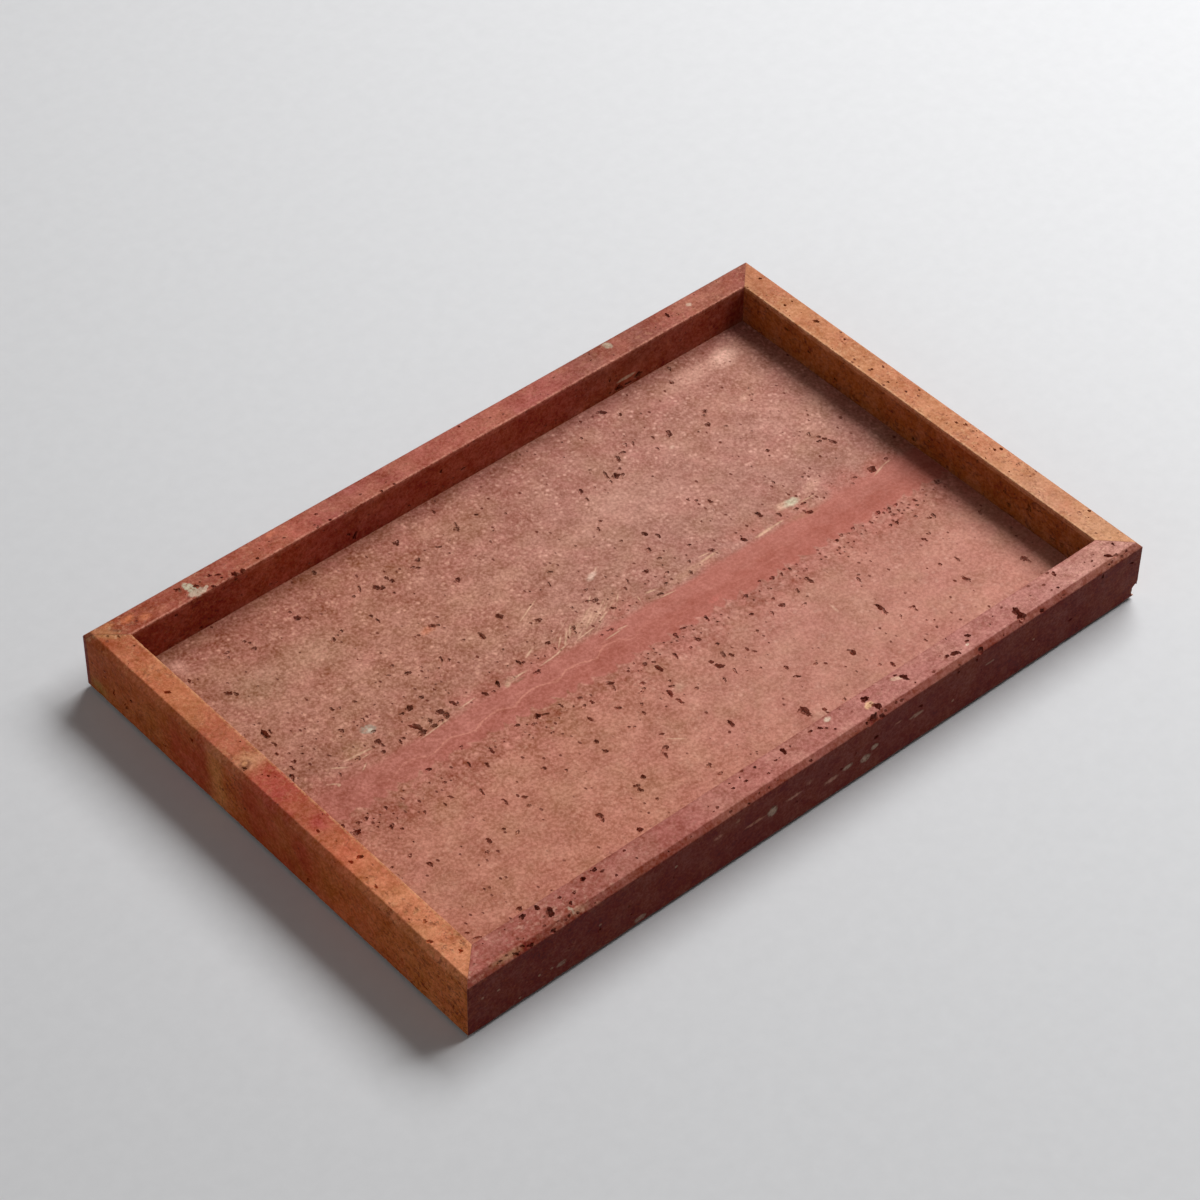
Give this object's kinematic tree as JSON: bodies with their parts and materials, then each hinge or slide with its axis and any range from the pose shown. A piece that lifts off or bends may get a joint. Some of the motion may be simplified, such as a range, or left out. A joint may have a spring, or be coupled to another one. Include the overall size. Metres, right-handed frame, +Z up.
{
  "type": "stone vanity tray",
  "caption": "Rectangular stone tray for a vanity top: a flat floor slab framed by mitred rails with a bevelled top edge, on thin soft pads.",
  "frame": {"origin": "centre of the tray on the surface that its pads stand on", "axes": "+X along the long side towards the right rail, +Y along the short side towards the back rail, +Z up"},
  "size_m": [0.3, 0.2, 0.0258],
  "materials": {
    "floor_stone": "honed red travertine, salmon brown with a crimson vein, open pits",
    "front_rail_stone": "honed red travertine, rose crimson, open pits",
    "back_rail_stone": "honed red travertine, brick red, open pits",
    "left_rail_stone": "honed red travertine, orange with a redder stretch, open pits",
    "right_rail_stone": "honed red travertine, peach tan, open pits",
    "joint_resin": "cured tinted stone glue, wiped flush",
    "pad_rubber": "matt soft pad"
  },
  "bodies": {
    "root": {"floor_slab": "floor_stone", "front_rail": "front_rail_stone", "right_rail": "right_rail_stone", "back_rail": "back_rail_stone", "left_rail": "left_rail_stone", "mitre_glue_front_left": "joint_resin", "mitre_glue_front_right": "joint_resin", "mitre_glue_back_left": "joint_resin", "mitre_glue_back_right": "joint_resin", "floor_glue_front": "joint_resin", "floor_glue_right": "joint_resin", "floor_glue_back": "joint_resin", "floor_glue_left": "joint_resin", "pad_front_left": "pad_rubber", "pad_front_right": "pad_rubber", "pad_back_left": "pad_rubber", "pad_back_right": "pad_rubber"}
  },
  "joints": []
}
